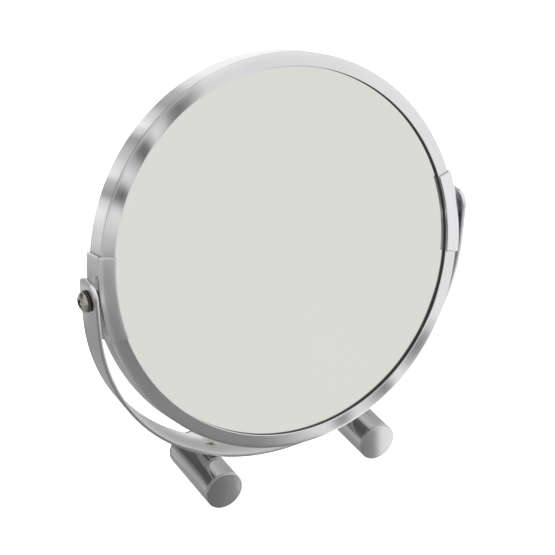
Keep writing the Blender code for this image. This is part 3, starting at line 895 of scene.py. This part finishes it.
# Up to 13.5: the front of the rim and of the clips
FACE_TONES = (
    (0, 0.83), (50, 0.83), (60, 0.80), (104, 0.75), (107, 0.73), (110, 0.50), (113, 0.27),
    (117, 0.15), (120, 0.27), (123, 0.62), (126.5, 0.82), (129, 0.52), (131.5, 0.12),
    (134, 0.14), (138, 0.52), (141.5, 0.84), (143.5, 0.72), (146, 0.22), (148, 0.08),
    (150, 0.22), (152, 0.78), (154.5, 0.84), (158, 0.68), (163, 0.52), (168, 0.34), (172, 0.25),
    (178, 0.21), (190, 0.215),
    (230, 0.25), (250, 0.265), (255, 0.32), (260, 0.43), (265, 0.585), (270, 0.74), (274, 0.84),
    (276.5, 0.68), (278.5, 0.38), (281, 0.26), (283, 0.40), (285, 0.68), (287, 0.79), (290, 0.72),
    (295, 0.42), (299, 0.22), (301, 0.34), (303, 0.74), (306, 0.86), (308, 0.74), (312, 0.41),
    (317, 0.23), (321, 0.32), (326, 0.66), (330, 0.85), (345, 0.83),
)
# From 15 to 60: the end caps and the front edges of the yoke, near 270, and rounded edges
FRONT_TONES = (
    (0, 0.83), (60, 0.86), (106, 0.84), (113, 0.55), (119, 0.40), (128, 0.66), (134, 0.40),
    (142, 0.66), (149, 0.36), (156, 0.72), (165, 0.50), (176, 0.36), (190, 0.30), (235, 0.20),
    (256, 0.18), (261, 0.19), (265, 0.26), (270.5, 0.24), (273, 0.52), (275.5, 0.98), (282, 1.0),
    (300, 0.92), (330, 0.85),
)
# From 68 to 77: what faces up, such as the tops of the tubes and the bottom of the yoke
TOP_TONES = (
    (0, 0.90), (30, 0.60), (45, 0.42), (60, 0.38), (90, 0.42), (108, 0.52), (117, 0.40),
    (122, 0.11), (140, 0.08), (156, 0.12), (164, 0.38), (176, 0.40), (200, 0.38), (225, 0.40),
    (270, 0.50), (310, 0.80),
)
# From 79 to 88: the inside of the yoke further up, and the flanks of the tubes
ARM_TONES = (
    (0, 0.90), (30, 0.48), (54, 0.45), (66, 0.93), (88, 0.93), (100, 0.60), (112, 0.48),
    (120, 0.12), (144, 0.08), (154, 0.20), (162, 0.36), (172, 0.42), (180, 0.34), (200, 0.28),
    (270, 0.50), (330, 0.85),
)
# From 90.5: the side of the rim and the outside of the yoke
SIDE_TONES = (
    (0, 0.95), (55, 0.86), (70, 0.95), (88, 1.0), (104, 0.98), (110, 0.84), (116, 0.48),
    (120, 0.42), (125, 0.74), (128, 0.94), (130, 0.74), (133, 0.38), (138, 0.60), (142, 0.82),
    (144, 0.90), (147, 0.50), (150, 0.38), (153, 0.78), (155, 0.90), (162, 0.70), (170, 0.42),
    (176, 0.30), (185, 0.30), (200, 0.38), (220, 0.31), (240, 0.26), (255, 0.265), (262, 0.36),
    (270, 0.61), (277, 0.80), (282, 0.35), (284, 0.29), (288, 0.78), (300, 0.6), (330, 0.8),
)
# The tilts between which one table gives way to the next
CHANGES = (
    (13.5, 15.0, FRONT_TONES),
    (60.0, 68.0, TOP_TONES),
    (77.0, 79.0, ARM_TONES),
    (88.0, 90.5, SIDE_TONES),
)
GLASS_LIMIT = (3.8, 4.4)                # below this tilt it is the glass
GLASS_TONE = 0.84
ROOM_TONE = (0.95, 0.95, 0.955, 1.0)    # what lights surfaces that aren't polished
WHITE = (1.0, 1.0, 1.0, 1.0)
GLOSSY_BOUNCES = 12
INNER_GLOSS = 0.6                       # of light that has been reflected more than once


def tone_ramps(nodes, turn, stops):
    """Two colour ramps, one for each half turn, because one ramp holds 32 stops.

    A half turn without a stop at its very end closes with the tone of angle 0.
    """
    halves = []
    for low in (0.0, 180.0):
        high = low + 180.0
        inside = [(place, value) for place, value in stops if low <= place < high]
        after = [(place, value) for place, value in stops if place >= high]
        if after and after[0][0] == high:
            end = after[0][1]
        else:
            end = stops[0][1]
        if inside[0][0] > low:
            before = [pair for pair in stops if pair[0] < low][-1]
            share = (low - before[0]) / (inside[0][0] - before[0])
            inside.insert(0, (low, before[1] + share * (inside[0][1] - before[1])))
        inside.append((high, end))
        places = [((place - low) / 180.0, value) for place, value in inside]
        fac = nodes.math("SUBTRACT", nodes.math("MULTIPLY", turn, 2.0), low / 180.0)
        halves.append(nodes.ramp(fac, places))
    upper = nodes.math("GREATER_THAN", turn, 0.5)
    return nodes.colour_mix(upper, halves[0], halves[1])


def make_world():
    """A white room, with soft boxes and dark flags that only polished surfaces see.

    Their tone depends on the half-way vector between a ray's direction and the fixed direction
    to the main camera, which is how a surface faces that reflects the ray into that camera.
    """
    world = bpy.data.worlds.new("studio")
    bpy.context.scene.world = world
    world.use_nodes = True
    nodes = Nodes(world.node_tree)
    towards = -CAMERA_FORWARD.normalized()
    direction = nodes.add("ShaderNodeTexCoord").outputs["Generated"]
    both = nodes.add("ShaderNodeVectorMath", {0: direction, 1: towards}, operation="ADD")
    half = nodes.add("ShaderNodeVectorMath", {0: both.outputs[0]}, operation="NORMALIZE").outputs[0]
    x = nodes.dot(half, (1.0, 0.0, 0.0))
    y = nodes.dot(half, HEAD_UP)
    z = nodes.dot(half, HEAD_FRONT)
    turn = nodes.math("FRACT", nodes.math("DIVIDE", nodes.math("ARCTAN2", y, x), TAU))
    tilt = nodes.math("MULTIPLY", nodes.math("ARCCOSINE", z), 180.0 / math.pi)

    tone = tone_ramps(nodes, turn, FACE_TONES)
    for low, high, stops in CHANGES:
        share = nodes.remap(tilt, low, high, 0.0, 1.0)
        tone = nodes.colour_mix(share, tone, tone_ramps(nodes, turn, stops))
    share = nodes.remap(tilt, *GLASS_LIMIT, 0.0, 1.0)
    tone = nodes.colour_mix(share, (GLASS_TONE, GLASS_TONE, GLASS_TONE, 1.0), tone)

    path = nodes.add("ShaderNodeLightPath")
    tone = nodes.colour_mix(path.outputs["Is Glossy Ray"], ROOM_TONE, tone)
    tone = nodes.colour_mix(path.outputs["Is Camera Ray"], tone, WHITE)
    strength = nodes.remap(path.outputs["Glossy Depth"], 1.0, 2.0, 1.0, INNER_GLOSS)
    background = nodes.add("ShaderNodeBackground", {"Color": tone, "Strength": strength})
    output = nodes.add("ShaderNodeOutputWorld")
    nodes.tree.links.new(background.outputs[0], output.inputs["Surface"])


def make_floor():
    """A pale floor that the camera sees as white as the room, and that takes soft shadows."""
    mesh = bpy.data.meshes.new("floor")
    half = 8.0
    corners = [(-half, -half, 0.0), (half, -half, 0.0), (half, half, 0.0), (-half, half, 0.0)]
    mesh.from_pydata(corners, [], [(0, 1, 2, 3)])
    material = bpy.data.materials.new("pale_floor")
    material.use_nodes = True
    nodes = Nodes(material.node_tree)
    coords = nodes.add("ShaderNodeTexCoord").outputs["Object"]
    speck = nodes.remap(nodes.noise(coords, scale=900.0, detail=2.0), 0.3, 0.7, 0.86, 0.90)
    matt = nodes.add("ShaderNodeBsdfDiffuse", {"Color": speck, "Roughness": 0.5})
    glow = nodes.add("ShaderNodeEmission", {"Color": WHITE, "Strength": 0.93})
    path = nodes.add("ShaderNodeLightPath")
    both = nodes.add("ShaderNodeAddShader", {0: matt.outputs[0], 1: glow.outputs[0]})
    mixed = nodes.add("ShaderNodeMixShader", {0: path.outputs["Is Camera Ray"],
                                              1: matt.outputs[0], 2: both.outputs[0]})
    output = nodes.add("ShaderNodeOutputMaterial")
    nodes.tree.links.new(mixed.outputs[0], output.inputs["Surface"])
    mesh.materials.append(material)
    floor = bpy.data.objects.new("floor", mesh)
    bpy.context.scene.collection.objects.link(floor)
    floor.visible_glossy = False


def make_light(name, place, energy, size):
    """A round soft light aimed at the pivot, which polished surfaces don't show."""
    light = bpy.data.lights.new(name, "AREA")
    light.shape = "DISK"
    light.size = size
    light.energy = energy
    item = bpy.data.objects.new(name, light)
    item.location = place
    item.rotation_euler = (PIVOT - Vector(place)).to_track_quat("-Z", "Y").to_euler()
    item.visible_glossy = False
    bpy.context.scene.collection.objects.link(item)


def make_camera():
    data = bpy.data.cameras.new("camera")
    data.lens = CAMERA_LENS
    data.sensor_width = 36.0
    data.clip_start = 0.01
    data.clip_end = 100.0
    item = bpy.data.objects.new("camera", data)
    back = -CAMERA_FORWARD.normalized()
    right = (CAMERA_RIGHT - back * CAMERA_RIGHT.dot(back)).normalized()
    up = back.cross(right)
    turn = Matrix((right, up, back)).transposed().to_4x4()
    item.matrix_world = Matrix.Translation(CAMERA_PLACE) @ turn
    bpy.context.scene.collection.objects.link(item)
    bpy.context.scene.camera = item


make_world()
make_floor()
make_light("key", (0.9, -0.7, 1.3), energy=9.0, size=0.8)
make_light("fill", (-0.9, -0.9, 0.8), energy=3.0, size=1.0)
make_camera()
bpy.context.scene.view_settings.view_transform = "Standard"
bpy.context.scene.cycles.glossy_bounces = GLOSSY_BOUNCES
